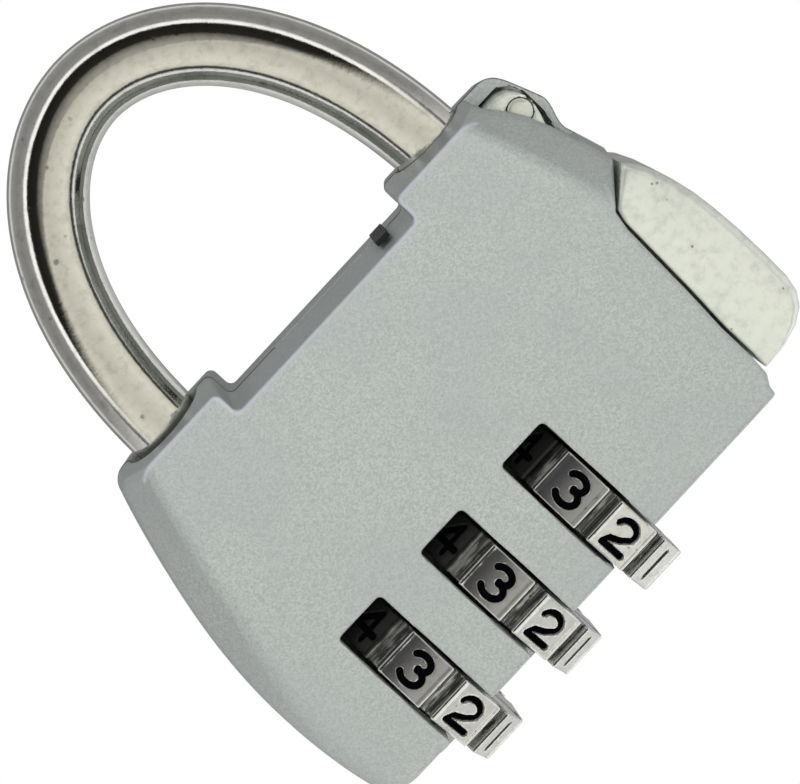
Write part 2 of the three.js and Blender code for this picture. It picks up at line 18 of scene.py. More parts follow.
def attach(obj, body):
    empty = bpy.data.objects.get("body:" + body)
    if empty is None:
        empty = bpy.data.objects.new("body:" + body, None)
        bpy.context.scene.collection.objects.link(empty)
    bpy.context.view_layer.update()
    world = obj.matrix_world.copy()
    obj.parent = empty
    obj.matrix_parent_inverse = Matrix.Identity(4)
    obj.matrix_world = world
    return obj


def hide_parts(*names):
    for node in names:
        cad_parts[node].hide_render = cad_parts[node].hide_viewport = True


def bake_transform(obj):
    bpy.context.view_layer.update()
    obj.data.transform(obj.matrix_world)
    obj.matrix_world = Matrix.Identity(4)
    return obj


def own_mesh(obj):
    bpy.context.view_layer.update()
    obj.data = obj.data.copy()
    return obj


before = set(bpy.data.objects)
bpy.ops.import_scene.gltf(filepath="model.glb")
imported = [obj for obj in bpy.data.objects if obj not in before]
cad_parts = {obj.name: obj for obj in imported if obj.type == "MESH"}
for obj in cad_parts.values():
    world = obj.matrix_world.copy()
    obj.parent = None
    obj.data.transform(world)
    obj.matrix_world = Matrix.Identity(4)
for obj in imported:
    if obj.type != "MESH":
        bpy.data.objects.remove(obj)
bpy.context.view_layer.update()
F32 = np.float32

# Mesh cell sizes
CASE_CELL = 0.13
LEVER_CELL = 0.11
DIAL_CELL = 0.07

MM = 0.001
REAR_H, CENTRE_Z = 6.7, 10.0  # rear face's Y, and the Z that becomes the scene's zero
SHIFT = np.array([0.0, -REAR_H, -CENTRE_Z])


def row(points):
    return (np.asarray(points, float) + SHIFT) * MM


# ---------------------------------------------- distance fields, negative inside
def meet(a, b, radius):
    """Where both shapes are, with the edge rounded."""
    over_a = np.maximum(a + radius, 0)
    over_b = np.maximum(b + radius, 0)
    return np.minimum(np.maximum(a, b), -radius) + np.hypot(over_a, over_b)


def join(a, b, radius):
    """Both shapes together, with the inner corner rounded."""
    return -meet(-a, -b, radius)


def carve(body, tool, radius=None):
    """The body less the tool, with a sharp edge or a rounded one."""
    if radius is None:
        return np.maximum(body, -tool)
    return meet(body, -tool, radius)


def union(shapes):
    return functools.reduce(np.minimum, shapes)


def box(x, y, z, x0, x1, y0, y1, z0, z1):
    return np.maximum(
        np.maximum(
            np.abs(x - (x0 + x1) / 2) - (x1 - x0) / 2,
            np.abs(y - (y0 + y1) / 2) - (y1 - y0) / 2,
        ),
        np.abs(z - (z0 + z1) / 2) - (z1 - z0) / 2,
    )


def slab(x, z, x0, x1, z0, z1):
    """A block through the whole depth. Its field goes no lower than -1."""
    return box(x, 0, z, x0, x1, -1, 1, z0, z1)


def rod(distance, radius, along, middle, half_length):
    """A cylinder, from the distance to its axis and the place along it."""
    return np.maximum(distance - radius, np.abs(along - middle) - half_length)


def step(start, end, value):
    t = np.clip((value - start) / (end - start), 0, 1)
    return t * t * (3 - 2 * t)


def bilinear(sample, i, j, u, v):
    return (
        sample(i, j) * (1 - u) * (1 - v) + sample(i + 1, j) * u * (1 - v)
        + sample(i, j + 1) * (1 - u) * v + sample(i + 1, j + 1) * u * v
    )


class Flat:
    """Signed distance to a polygon in X and Z, kept on a grid and read between its points."""

    CELL = 0.05

    def __init__(self, points, low, high):
        self.low = np.array(low, float)
        nx, nz = [int(math.ceil((high[i] - low[i]) / self.CELL)) + 2 for i in range(2)]
        x = (low[0] + self.CELL * np.arange(nx))[:, None]
        z = (low[1] + self.CELL * np.arange(nz))[None, :]
        corners = np.array(points, float)
        squared = np.full((nx, nz), 1e9)
        inside = np.zeros((nx, nz), bool)
        for i, start in enumerate(corners):
            end = corners[(i + 1) % len(corners)]
            edge = end - start
            dx, dz = x - start[0], z - start[1]
            t = np.clip((dx * edge[0] + dz * edge[1]) / max(edge @ edge, 1e-12), 0, 1)
            squared = np.minimum(squared, (dx - t * edge[0]) ** 2 + (dz - t * edge[1]) ** 2)
            if start[1] != end[1]:
                spans = (start[1] <= z) != (end[1] <= z)
                inside ^= spans & (x < start[0] + (z - start[1]) * edge[0] / edge[1])
        self.grid = (np.sqrt(squared) * np.where(inside, -1, 1)).astype(F32)

    def __call__(self, x, z):
        grid = self.grid
        across = np.clip((x - self.low[0]) / self.CELL, 0, grid.shape[0] - 1.001)
        up = np.clip((z - self.low[1]) / self.CELL, 0, grid.shape[1] - 1.001)
        across, up = np.broadcast_arrays(across, up)
        i, j = across.astype(int), up.astype(int)
        u, v = (across - i).astype(F32), (up - j).astype(F32)
        return bilinear(lambda a, b: grid[a, b], i, j, u, v)


# ----------------------------------------------------------------- mesh tools
def polish(points, field, cell):
    """Moves each point along the field's slope to the zero surface."""
    reach = 0.02
    place = [points[:, i] for i in range(3)]
    slope = []
    for i in range(3):
        ahead = [c + (reach if k == i else 0) for k, c in enumerate(place)]
        behind = [c - (reach if k == i else 0) for k, c in enumerate(place)]
        slope.append((field(*ahead) - field(*behind)) / (2 * reach))
    slope = np.stack(np.broadcast_arrays(*slope), 1)
    steepness = np.maximum((slope * slope).sum(1), 0.25)
    move = -(field(*place) / steepness)[:, None] * slope
    length = np.linalg.norm(move, axis=1)
    move *= np.minimum(1, 0.45 * cell / np.maximum(length, 1e-9))[:, None]
    return points + move


def surface_mesh(field, low, high, cell):
    """Points and quads on the zero surface of field(x, y, z), one point to a grid cell."""
    counts = [int(math.ceil((high[i] - low[i]) / cell)) + 1 for i in range(3)]
    axes = [(low[i] + cell * np.arange(counts[i])).astype(F32) for i in range(3)]
    values = field(axes[0][:, None, None], axes[1][None, :, None], axes[2][None, None, :])
    values = np.ascontiguousarray(np.broadcast_to(values, counts)).astype(F32)
    values[np.abs(values) < 1e-6] = 1e-6
    inside = values < 0
    cells = np.array(counts) - 1
    owners, crossings, quads = [], [], []
    for axis in range(3):
        edge = np.argwhere(np.diff(inside, axis=axis))
        edge_end = edge.copy()
        edge_end[:, axis] += 1
        start, end = values[tuple(edge.T)], values[tuple(edge_end.T)]
        crossing = edge.astype(F32)
        crossing[:, axis] += start / (start - end)
        around = []
        for step_b, step_c in ((0, 0), (-1, 0), (-1, -1), (0, -1)):
            near = edge.copy()
            near[:, (axis + 1) % 3] += step_b
            near[:, (axis + 2) % 3] += step_c
            valid = np.all((near >= 0) & (near < cells), axis=1)
            number = (near[:, 0] * cells[1] + near[:, 1]) * cells[2] + near[:, 2]
            around.append(np.where(valid, number, -1))
            owners.append(number[valid])
            crossings.append(crossing[valid])
        around = np.stack(around, 1)
        flip = start > 0
        around[flip] = around[flip][:, ::-1]
        quads.append(around[np.all(around >= 0, axis=1)])
    used, index = np.unique(np.concatenate(owners), return_inverse=True)
    index = index.reshape(-1)
    crossings = np.concatenate(crossings)
    total = np.bincount(index, minlength=len(used))
    points = np.stack(
        [np.bincount(index, weights=crossings[:, i], minlength=len(used)) / total
         for i in range(3)], 1)
    points = points * cell + np.array(low)
    for _ in range(2):
        points = polish(points, field, cell)
    return points, np.searchsorted(used, np.concatenate(quads))


def mesh_object(name, points, faces, sharp=None, attributes=None):
    """A smooth-shaded object; sharp is the angle in degrees where shading breaks."""
    mesh = bpy.data.meshes.new(name)
    if isinstance(faces, np.ndarray):
        sides = faces.shape[1]
        mesh.vertices.add(len(points))
        mesh.vertices.foreach_set("co", row(points).astype(F32).ravel())
        mesh.loops.add(faces.size)
        mesh.loops.foreach_set("vertex_index", faces.astype(np.int32).ravel())
        mesh.polygons.add(len(faces))
        starts = (np.arange(len(faces)) * sides).astype(np.int32)
        mesh.polygons.foreach_set("loop_start", starts)
        mesh.update(calc_edges=True)
        mesh.validate()
    else:
        mesh.from_pydata([tuple(p) for p in row(points)], [], faces)
        mesh.update()
    mesh.polygons.foreach_set("use_smooth", np.ones(len(mesh.polygons), bool))
    if sharp:
        mesh.set_sharp_from_angle(angle=math.radians(sharp))
    for key, values in (attributes or {}).items():
        attribute = mesh.attributes.new(key, "FLOAT", "POINT")
        attribute.data.foreach_set("value", np.asarray(values, F32))
    ob = bpy.data.objects.new(name, mesh)
    bpy.context.scene.collection.objects.link(ob)
    return ob


def rings_object(name, rings, sharp=None):
    """A closed skin over rings of points, capped at both ends."""
    rows, sides = rings.shape[:2]
    start = np.arange(rows - 1)[:, None] * sides
    j = np.arange(sides)[None, :]
    k = (j + 1) % sides
    quads = np.stack([start + j, start + k, start + sides + k, start + sides + j], -1)
    faces = [tuple(int(c) for c in quad) for quad in quads.reshape(-1, 4)]
    faces.append(tuple(range(sides - 1, -1, -1)))
    faces.append(tuple((rows - 1) * sides + c for c in range(sides)))
    ob = mesh_object(name, rings.reshape(-1, 3), faces, sharp)
    bm = bmesh.new()
    bm.from_mesh(ob.data)
    bmesh.ops.recalc_face_normals(bm, faces=bm.faces)
    bm.to_mesh(ob.data)
    bm.free()
    return ob


def unit(vectors):
    return vectors / np.linalg.norm(vectors, axis=1)[:, None]


def tube(path, tangent, side, radii, sides):
    """Rings of points about a path."""
    other = np.cross(tangent, side)
    angle = 2 * np.pi * np.arange(sides) / sides
    ring = (np.cos(angle)[None, :, None] * side[:, None]
            + np.sin(angle)[None, :, None] * other[:, None])
    return path[:, None] + ring * radii[:, None, None]


def helix(axis, centre, span, coil_radius, wire, turns, sides):
    """A spring's wire along "x" or "z"; centre is in the other two axes."""
    t = np.linspace(0, 1, int(turns * 36) + 1)
    turn = 2 * np.pi * turns * t
    # closed end coils: the pitch falls off at both ends
    half_turn = 0.5 / turns
    rise = np.clip((t - half_turn * 0.8) / (1 - 1.6 * half_turn), 0, 1)
    start, end = span
    along = start + wire + (end - start - 2 * wire) * (0.12 * t + 0.88 * rise)
    cos, sin = np.cos(turn), np.sin(turn)
    path = np.stack([centre[0] + coil_radius * cos, centre[1] + coil_radius * sin, along], 1)
    side = np.stack([cos, sin, np.zeros_like(t)], 1)
    if axis == "x":
        path, side = np.roll(path, 1, axis=1), np.roll(side, 1, axis=1)
    radii = np.full(len(path), wire)
    radii[[0, -1]] = wire * 0.7
    return tube(path, unit(np.gradient(path, axis=0)), side, radii, sides)


def lathe(profile, x, z, sides):
    """Rings turned about a line along Y, from (radius, y) pairs."""
    angles = 2 * np.pi * np.arange(sides) / sides
    return np.array([
        [(x + r * math.cos(a), y, z + r * math.sin(a)) for a in angles] for r, y in profile
    ])


# ------------------------------------------------------------ case dimensions
# The case's outline: z, half width
WIDTHS = np.array([
    [-0.5, 16.2], [0.0, 16.4], [0.8, 16.62], [1.9, 16.82], [2.9, 16.95], [4.0, 17.07],
    [5.1, 17.16], [6.1, 17.2], [7.2, 17.21], [8.2, 17.18], [9.3, 17.1], [10.3, 16.99],
    [11.4, 16.85], [12.4, 16.65], [13.5, 16.45], [14.5, 16.2], [15.6, 15.93], [16.6, 15.64],
    [17.7, 15.3], [18.7, 14.97], [19.8, 14.58], [20.8, 14.2], [22.0, 13.7],
])
WIDTH_FIT = np.polyfit((WIDTHS[:, 0] - 10) / 11, WIDTHS[:, 1], 6)
WIDTH_SLOPE = np.polyder(WIDTH_FIT)

SHOULDER_Z = 21.6
NOTCH_Z, NOTCH_X = 19.98, 6.65  # top notch: floor and half width
WALL = 1.1
DRAFT = math.tan(math.radians(4.5))  # how fast the walls draw in away from the parting line
DIAL_X = (-10.2, -4.06, 2.06)
WINDOW_W, WINDOW_TOP = 3.16, 7.9
AXIS_Y, AXIS_Z = -0.1, 2.85  # the dials' axis
LEG_X, LEG_R = 10.16, 2.16  # shackle legs: the toe stands at -X, the heel at +X
PIN_X, PIN_Z = 14.55, 19.2
RIVETS = ((-14.0, 10.4), (-4.4, 16.7), (1.6, 15.6))  # x, z

# The slope along both flanks, by height: its width across X and its depth along Y
FLANK_Z = [0, 5, 9, 13, SHOULDER_Z]
FLANK_WIDTH = [0.9, 1.1, 1.75, 2.35, 2.1]
FLANK_DEPTH = [0.7, 0.8, 1.35, 2.1, 2.9]

# Outlines round the lever, as (x, z)
HEAD_CUT = Flat(  # the front half's cut at the upper +X corner
    [(13.0, 23), (13.0, 21.7), (13.1, 21.1), (13.55, 20.45), (14.05, 19.75), (14.5, 18.95),
     (14.85, 18.12), (15.12, 17.5), (15.3, 17.0), (15.45, 16.2), (18, 16.2), (18, 23)],
    (11.5, 14.5), (19, 24),
)
LEVER_CUT = Flat(  # the cut in both halves at the lower +X side
    [(14.05, 12.45), (16.2, 14.25), (20, 14.25), (20, -3), (12.7, -3), (12.75, -1),
     (12.9, 0.4), (13.3, 1.0), (13.4, 2.2), (13.42, 4.3), (13.6, 6.8), (13.72, 9.4),
     (13.82, 11.4)],
    (11.0, -2.5), (19, 17),
)
LEVER_ROOM = Flat(  # the room for the lever between the halves
    [(12.55, 20.72), (12.55, 4.2), (19, 4.2), (19, 12.4), (15.6, 12.6), (15.2, 14.0),
     (14.85, 15.6), (14.95, 16.5), (15.2, 17.1), (15.4, 17.7), (15.47, 18.4), (15.47, 19.5),
     (15.2, 20.25), (14.6, 20.72)],
    (10.5, 2.5), (19.5, 23),
)

# Solid blocks inside the case: x0, x1, z0, z1
GUIDES = (
    (-LEG_X - 3.3, -LEG_X + 3.3, 13.2, 30),  # round the toe
    (LEG_X - 3.3, LEG_X + 2.5, 16.3, 30),  # round the top of the heel
    (LEG_X - 3.2, LEG_X - 2.35, 0.5, 16.3),  # upright wall beside the heel
    (LEG_X - 2.4, LEG_X + 4.2, 0.5, 1.9),  # floor under the heel
    (-16.8, -14.55, 1, 6.4),  # lower -X corner
)
# Slots: x0, x1, y0, y1, z0, z1
HEEL_SLOT = (11.3, 13.0, -1.8, 1.8, 15.9, 19.0)
TOP_SLOT = (-3.2, 5.5, -0.3, 0.3, 17.0, 24)
SHARED_SLOTS = (
    (3.2, 7.1, -2.5, 2.5, 16.3, 17.9),
    (4.3, 7.1, -2.5, 2.5, 0.75, 17.9),  # upright, beside the heel's wall
    (-12.2, 5.4, -3.3, 2.3, 8.2, 11.1),  # long, above the dials
)
REAR_SLOTS = (
    (-12.6, 15.0, 2.5, 3.75, 10.2, 13.0),
    (-9.2, 7.2, 2.5, 3.75, 3.3, 13.0),
    (12.4, 15.0, 2.0, 3.75, 10.2, 12.4),
    (-9.2, -0.6, 2.0, 4.2, 12.6, 15.4),
)
REAR_RIB = (-0.9, -0.1, 1.9, 6.0, 13.1, 16.0)
# Pairs of blocks in the front half: their x, then each one's z0, z1
SEAT_X, SEAT_Z = (-7.13, -1.0), ((9.3, 10.24), (10.66, 11.4))


# ----------------------------------------------- the case; side is -1 front, 1 rear
def half_width(z):
    return np.polyval(WIDTH_FIT, (z - 10) / 11)


def half_width_slope(z):
    return np.polyval(WIDTH_SLOPE, (z - 10) / 11) / 11


def outline(x, z, side, inset):
    """Distance in X and Z to the outline; inset is how far the walls have drawn in."""
    width = half_width(z)
    if side > 0:
        # the rear half swells round the lever's head
        swell = step(16.5, 18.7, z) * (1 - 0.12 * step(20.5, SHOULDER_Z, z))
        width = width + np.where(x > 0, swell, 0)
    lean = 1 / np.sqrt(1 + half_width_slope(z) ** 2)
    d = (np.abs(x) - width) * lean + inset
    d = meet(d, z - SHOULDER_Z + inset, 0.6)
    d = meet(d, -z - 0.1, 1.5)
    notch = meet(np.abs(x - 0.08) - NOTCH_X - 0.2 * inset, NOTCH_Z - 0.8 * inset - z, 0.4)
    d = carve(d, notch, 0.4)
    d = carve(d, LEVER_CUT(x, z), 0.2)
    if side < 0:
        d = carve(d, HEAD_CUT(x, z), 0.18)
    return d


def face_depth(x, z, side):
    """How far the front or rear face lies from the parting line."""
    if side < 0:
        return 6.25 - 0.035 * z - 0.24 * (x / 13.5) ** 2
    return REAR_H


def case_outside(x, y, z, side):
    out = side * y
    face = out - face_depth(x, z, side)
    d = outline(x, z, side, DRAFT * np.maximum(out, 0))
    d = meet(d, face, 0.28 if side < 0 else 0.6)
    width = np.interp(z, FLANK_Z, FLANK_WIDTH)
    depth = np.interp(z, FLANK_Z, FLANK_DEPTH) * (1 if side < 0 else 0.8)
    flank = (np.abs(x) - (half_width(z) - width)) * depth + face * width
    flank = flank / np.hypot(width, depth)
    if side > 0:
        flank = flank - 0.62 * np.where(x > 0, step(16.5, 18.9, z), 0)
    return meet(d, flank, 0.32)


def case_room(x, z, outside):
    """The hollow inside the walls, less the blocks and rivet posts standing in it."""
    room = carve(outside + WALL, slab(x, z, 12.5, 20, -3, 12.6))
    room = carve(room, meet(np.abs(x) - NOTCH_X - WALL, NOTCH_Z - 1.2 - z, 0.3))
    solids = [slab(x, z, *guide) for guide in GUIDES]
    solids += [np.hypot(x - rivet_x, z - rivet_z) - 1.25 for rivet_x, rivet_z in RIVETS]
    return carve(room, union(solids))


def case_half(x, y, z, side):
    outside = case_outside(x, y, z, side)
    d = carve(outside, case_room(x, z, outside), 0.1)
    from_axis = np.hypot(y - AXIS_Y, z - AXIS_Z)
    # the underside bulges round the axle's gate flanges
    bulge = meet(from_axis - 4.1, np.abs(x + 3.8) - 9.4, 0.3)
    d = join(d, np.maximum(bulge, z - 2.5), 0.25)
    d = meet(d, -side * y + 0.05, 0.12)
    # dial pockets and the axle's tunnel, in two widths
    pockets = [rod(from_axis, 6.3, x, dial_x, WINDOW_W / 2) for dial_x in DIAL_X]
    pockets.append(rod(from_axis, 3.8, x, -3.775, 9.025))
    pockets.append(rod(from_axis, 2.2, x, -3.75, 10.75))
    d = carve(d, union(pockets), 0.06)
    if side < 0:
        for dial_x in DIAL_X:
            window = meet(np.abs(x - dial_x) - WINDOW_W / 2, z - WINDOW_TOP, 0.28)
            d = carve(d, np.maximum(window, y), 0.09)
    # shackle bores; the toe's is deeper towards the front
    toe_y = y * np.where(y < 0, 0.72, 1.0)
    from_heel = np.hypot(x - LEG_X, y)
    d = carve(d, np.maximum(np.hypot(x + LEG_X, toe_y) - 2.57, 14.6 - z), 0.12)
    d = carve(d, np.maximum(from_heel - 2.26, 1.9 - z), 0.12)
    # a wider well along the middle of the heel's bore
    d = carve(d, rod(from_heel, 3.0, z, 12.15, 4.15))
    d = carve(d, np.maximum(LEVER_ROOM(x, z), np.abs(y) - 2.35), 0.06)
    d = carve(d, box(x, y, z, *HEEL_SLOT))
    d = carve(d, box(x, y, z, *TOP_SLOT), 0.06)
    for slot in SHARED_SLOTS:
        d = carve(d, box(x, y, z, *slot))
    # the axle's own bore
    d = carve(d, rod(from_axis, 1.07, x, -3.9, 12.5))
    return rear_details(d, x, y, z) if side > 0 else front_details(d, x, y, z)


def rear_details(d, x, y, z):
    for slot in REAR_SLOTS:
        d = carve(d, box(x, y, z, *slot))
    d = np.minimum(d, box(x, y, z, *REAR_RIB))
    d = carve(d, np.maximum(np.hypot(x - PIN_X, z - PIN_Z) - 0.7, y - 4.1))
    for rivet_x, rivet_z in RIVETS:
        distance = np.hypot(x - rivet_x, z - rivet_z)
        d = carve(d, distance - 0.72)
        d = carve(d, np.maximum(distance - 1.24, 6.18 - y), 0.06)
    return d


def front_details(d, x, y, z):
    for rivet_x, rivet_z in RIVETS:
        d = carve(d, np.maximum(np.hypot(x - rivet_x, z - rivet_z) - 0.62, -4.4 - y))
    for seat_x in SEAT_X:
        for z0, z1 in SEAT_Z:
            d = np.minimum(d, box(x, y, z, seat_x - 0.7, seat_x + 0.7, -5.1, -1.9, z0, z1))
    return d


# ------------------------------------------------------------------ the dials
FLAT_R = 5.92  # from the axis to each of the ten flats
FLAT_ANGLE = 36
PEN = 0.2  # half the width of a digit's line
DIGIT_W, DIGIT_H = 1.45, 1.07  # scale of the strokes along the axis and round the dial
MAP_HALF, MAP_STEP, MAP_COUNT = 1.5, 0.02, 151


def arc(cx, cy, radius, start, end, count=14, radius_y=None):
    return [
        (cx + radius * math.cos(a), cy + (radius_y or radius) * math.sin(a))
        for a in np.radians(np.linspace(start, end, count))
    ]


# Pen lines of each digit in a box about 1 by 1.6
STROKES = {
    0: [arc(0, 0, 0.5, 90, 450, 30, 0.8)],
    1: [[(0, -0.8), (0, 0.8)]],
    2: [arc(0, 0.32, 0.48, 165, -28) + [(0.12, -0.22), (-0.34, -0.44), (-0.5, -0.8), (0.56, -0.8)]],
    3: [arc(-0.02, 0.4, 0.4, 150, -78) + arc(0.0, -0.36, 0.45, 84, -152)],
    4: [[(0.24, -0.8), (0.24, 0.8), (-0.56, -0.32), (0.6, -0.32)]],
    5: [[(0.45, 0.8), (-0.34, 0.8), (-0.42, 0.12)] + arc(0, -0.27, 0.52, 140, -145)],
    6: [[(0.36, 0.76), (0.0, 0.6), (-0.34, 0.22), (-0.49, -0.2)], arc(0, -0.3, 0.49, 0, 360, 28)],
    7: [[(-0.52, 0.8), (0.52, 0.8), (0.1, 0.1), (-0.12, -0.8)]],
    8: [arc(0, 0.42, 0.38, 0, 360, 24), arc(0, -0.36, 0.45, 0, 360, 28)],
    9: [[(-0.36, -0.76), (0.0, -0.6), (0.34, -0.22), (0.49, 0.2)], arc(0, 0.3, 0.49, 0, 360, 28)],
}


def digit_maps():
    """For each flat, the distance to its digit's pen line on a grid."""
    u = np.linspace(-MAP_HALF, MAP_HALF, MAP_COUNT)[:, None]
    v = np.linspace(-MAP_HALF, MAP_HALF, MAP_COUNT)[None, :]
    maps = []
    for k in range(10):
        d = np.full((MAP_COUNT, MAP_COUNT), 9.0)
        for line in STROKES[(3 - k) % 10]:
            line = [(px * DIGIT_W, py * DIGIT_H) for px, py in line]
            for (x0, y0), (x1, y1) in zip(line[:-1], line[1:]):
                dx, dy = x1 - x0, y1 - y0
                t = ((u - x0) * dx + (v - y0) * dy) / max(dx * dx + dy * dy, 1e-9)
                t = np.clip(t, 0, 1)
                d = np.minimum(d, np.hypot(u - x0 - t * dx, v - y0 - t * dy))
        maps.append(d)
    return np.stack(maps).astype(F32)


DIGITS = digit_maps()


def dial_parts(x, y, z):
    """From a place about the dial's centre: its radius, its degrees off the nearest flat's
    middle, its height over that flat, its height and offset in the nearest groove, and
    its distance to the digit's line."""
    radius = np.hypot(y, z)
    angle = np.degrees(np.arctan2(-z, -y))
    k = np.floor((angle + FLAT_ANGLE / 2) / FLAT_ANGLE).astype(int)
    turn = angle - FLAT_ANGLE * k
    off = np.radians(turn)
    height, offset = radius * np.cos(off), radius * np.sin(off)
    to_groove = math.radians(FLAT_ANGLE / 2) - np.abs(off)
    groove_height = radius * np.cos(to_groove)
    groove_offset = np.abs(radius * np.sin(to_groove))
    across = np.clip((offset + MAP_HALF) / MAP_STEP, 0, 149.99)
    up = np.clip((x + MAP_HALF) / MAP_STEP, 0, 149.99)
    k, across, up = np.broadcast_arrays(k % 10, across, up)
    i, j = across.astype(int), up.astype(int)
    pen = bilinear(lambda a, b: DIGITS[k, a, b], i, j, across - i, up - j) - PEN
    return radius, turn, height, groove_height, groove_offset, pen


def dial_field(x, y, z):
    radius, _, height, groove_height, groove_offset, pen = dial_parts(x, y, z)
    d = height - FLAT_R
    d = carve(d, np.maximum(groove_offset - 0.44, 5.48 - groove_height), 0.05)
    # two thin ridges stand along each groove
    ridge = np.maximum(np.abs(groove_offset - 0.2) - 0.055, groove_height - 5.66)
    d = np.minimum(d, np.maximum(ridge, 5.3 - groove_height))
    lip = np.hypot(groove_offset - 0.53, groove_height - 5.98) - 0.12
    d = join(d, lip, 0.05)
    d = meet(d, np.abs(x) - 1.375, 0.1)
    d = carve(d, np.maximum(pen, FLAT_R - 0.17 - height), 0.03)
    # bore: splined towards +X, plain and wider towards -X
    angle = np.degrees(np.arctan2(z, y))
    from_spline = np.abs((angle + 18) % 36 - 18)
    splined = np.where(from_spline < 6.5, 2.98, 2.39)
    hole = np.where(x > -0.02, radius - splined, radius - 3.15)
    return carve(d, hole, 0.05)


# ------------------------------------------------------------------ the lever
# Side outlines, as (x, z)
HEAD = Flat(
    [(13.15, 20.45), (13.45, 20.58), (14.3, 20.58), (14.85, 20.35), (15.2, 19.9),
     (15.36, 19.45), (15.38, 19.1), (15.2, 18.4), (14.9, 17.6), (14.45, 16.9), (13.95, 16.5),
     (13.6, 15.9), (13.6, 12.6), (15.3, 11.8), (15.3, 4.6), (12.95, 4.6), (12.95, 20.2)],
    (11.5, 3), (19, 22),
)
THUMB = Flat(
    [(14.0, 11.65), (14.2, 12.35), (16.1, 13.85), (16.55, 13.3), (16.98, 12.35), (17.3, 11.3),
     (17.56, 10.0), (17.7, 8.6), (17.78, 7.0), (17.78, 5.0), (17.72, 3.4), (17.5, 2.5),
     (17.0, 1.85), (16.2, 1.42), (15.0, 1.2), (13.5, 1.12), (13.58, 2.2), (13.6, 4.3),
     (13.78, 6.8), (13.9, 9.4)],
    (12.4, 0), (19, 15),
)


def lever_field(x, y, z):
    beyond = np.maximum(x - 14.3, 0) ** 2
    front = 5.42 - 0.075 * beyond - 0.006 * (z - 6.5) ** 2
    back = 5.22 - 0.12 * beyond - 0.006 * (z - 6.5) ** 2
    edge_radius = 0.14 + 0.36 * step(14.4, 16.6, x)
    thumb = meet(THUMB(x, z), np.maximum(-y - front, y - back), edge_radius)
    thumb = carve(thumb, box(x, y, z, 13, 14.8, 2.6, 3.8, 10.0, 13.0))
    head = meet(HEAD(x, z), np.abs(y) - 2.15, 0.14)
    head = carve(head, np.hypot(x - PIN_X, z - PIN_Z) - 0.74, 0.03)
    head = carve(head, box(x, y, z, 12.0, 13.42, -1.6, 1.6, 17.96, 18.61))
    peg = rod(np.hypot(x - 13.3, z - 11.2), 0.6, y, 2.8, 0.8)
    return np.minimum(join(thumb, head, 0.1), peg)


# ---------------------------------------------------------------- shader nodes
def lin(*rgb):
    """sRGB 0..255 to linear."""
    scaled = [c / 255 for c in rgb]
    return tuple(c / 12.92 if c <= 0.04045 else ((c + 0.055) / 1.055) ** 2.4 for c in scaled)


def tinted(color, factor):
    return tuple(min(1, c * factor) for c in color)


class Nodes:
    """Lays out the nodes of one shader tree. A value may be a constant or an output."""

    def __init__(self, tree):
        self.tree = tree

    def node(self, kind, **settings):
        node = self.tree.nodes.new(kind)
        for key, value in settings.items():
            setattr(node, key, value)
        return node

    def put(self, socket, value):
        if isinstance(value, bpy.types.NodeSocket):
            self.tree.links.new(value, socket)
        elif isinstance(value, tuple) and len(value) == 3:
            socket.default_value = (*value, 1)
        else:
            socket.default_value = value

    def ramp(self, fac, stops):
        """Stops are (position, grey or colour)."""
        node = self.node("ShaderNodeValToRGB")
        elements = node.color_ramp.elements
        while len(elements) < len(stops):
            elements.new(0.5)
        for element, (position, c) in zip(elements, stops):
            element.position = position
            element.color = (*c, 1) if isinstance(c, tuple) else (c, c, c, 1)
        self.put(node.inputs["Fac"], fac)
        return node.outputs["Color"]

    def math(self, operation, a, b=0.0, c=None):
        node = self.node("ShaderNodeMath", operation=operation)
        self.put(node.inputs[0], a)
        self.put(node.inputs[1], b)
        if c is not None:
            self.put(node.inputs[2], c)
        return node.outputs[0]

    def fade(self, value, over, to=(0.0, 1.0)):
        """Goes smoothly from to[0] to to[1] while the value crosses over."""
        node = self.node("ShaderNodeMapRange", interpolation_type="SMOOTHSTEP")
        self.put(node.inputs["Value"], value)
        for key, number in zip(("From Min", "From Max", "To Min", "To Max"), (*over, *to)):
            self.put(node.inputs[key], number)
        return node.outputs["Result"]

    def mix(self, fac, a, b):
        node = self.node("ShaderNodeMix", data_type="RGBA")
        for index, value in ((0, fac), (6, a), (7, b)):
            self.put(node.inputs[index], value)
        return node.outputs[2]

    def mix_shader(self, fac, a, b):
        node = self.node("ShaderNodeMixShader")
        for index, value in enumerate((fac, a, b)):
            self.put(node.inputs[index], value)
        return node.outputs[0]

    def xyz(self, vector):
        node = self.node("ShaderNodeSeparateXYZ")
        self.put(node.inputs[0], vector)
        return node.outputs


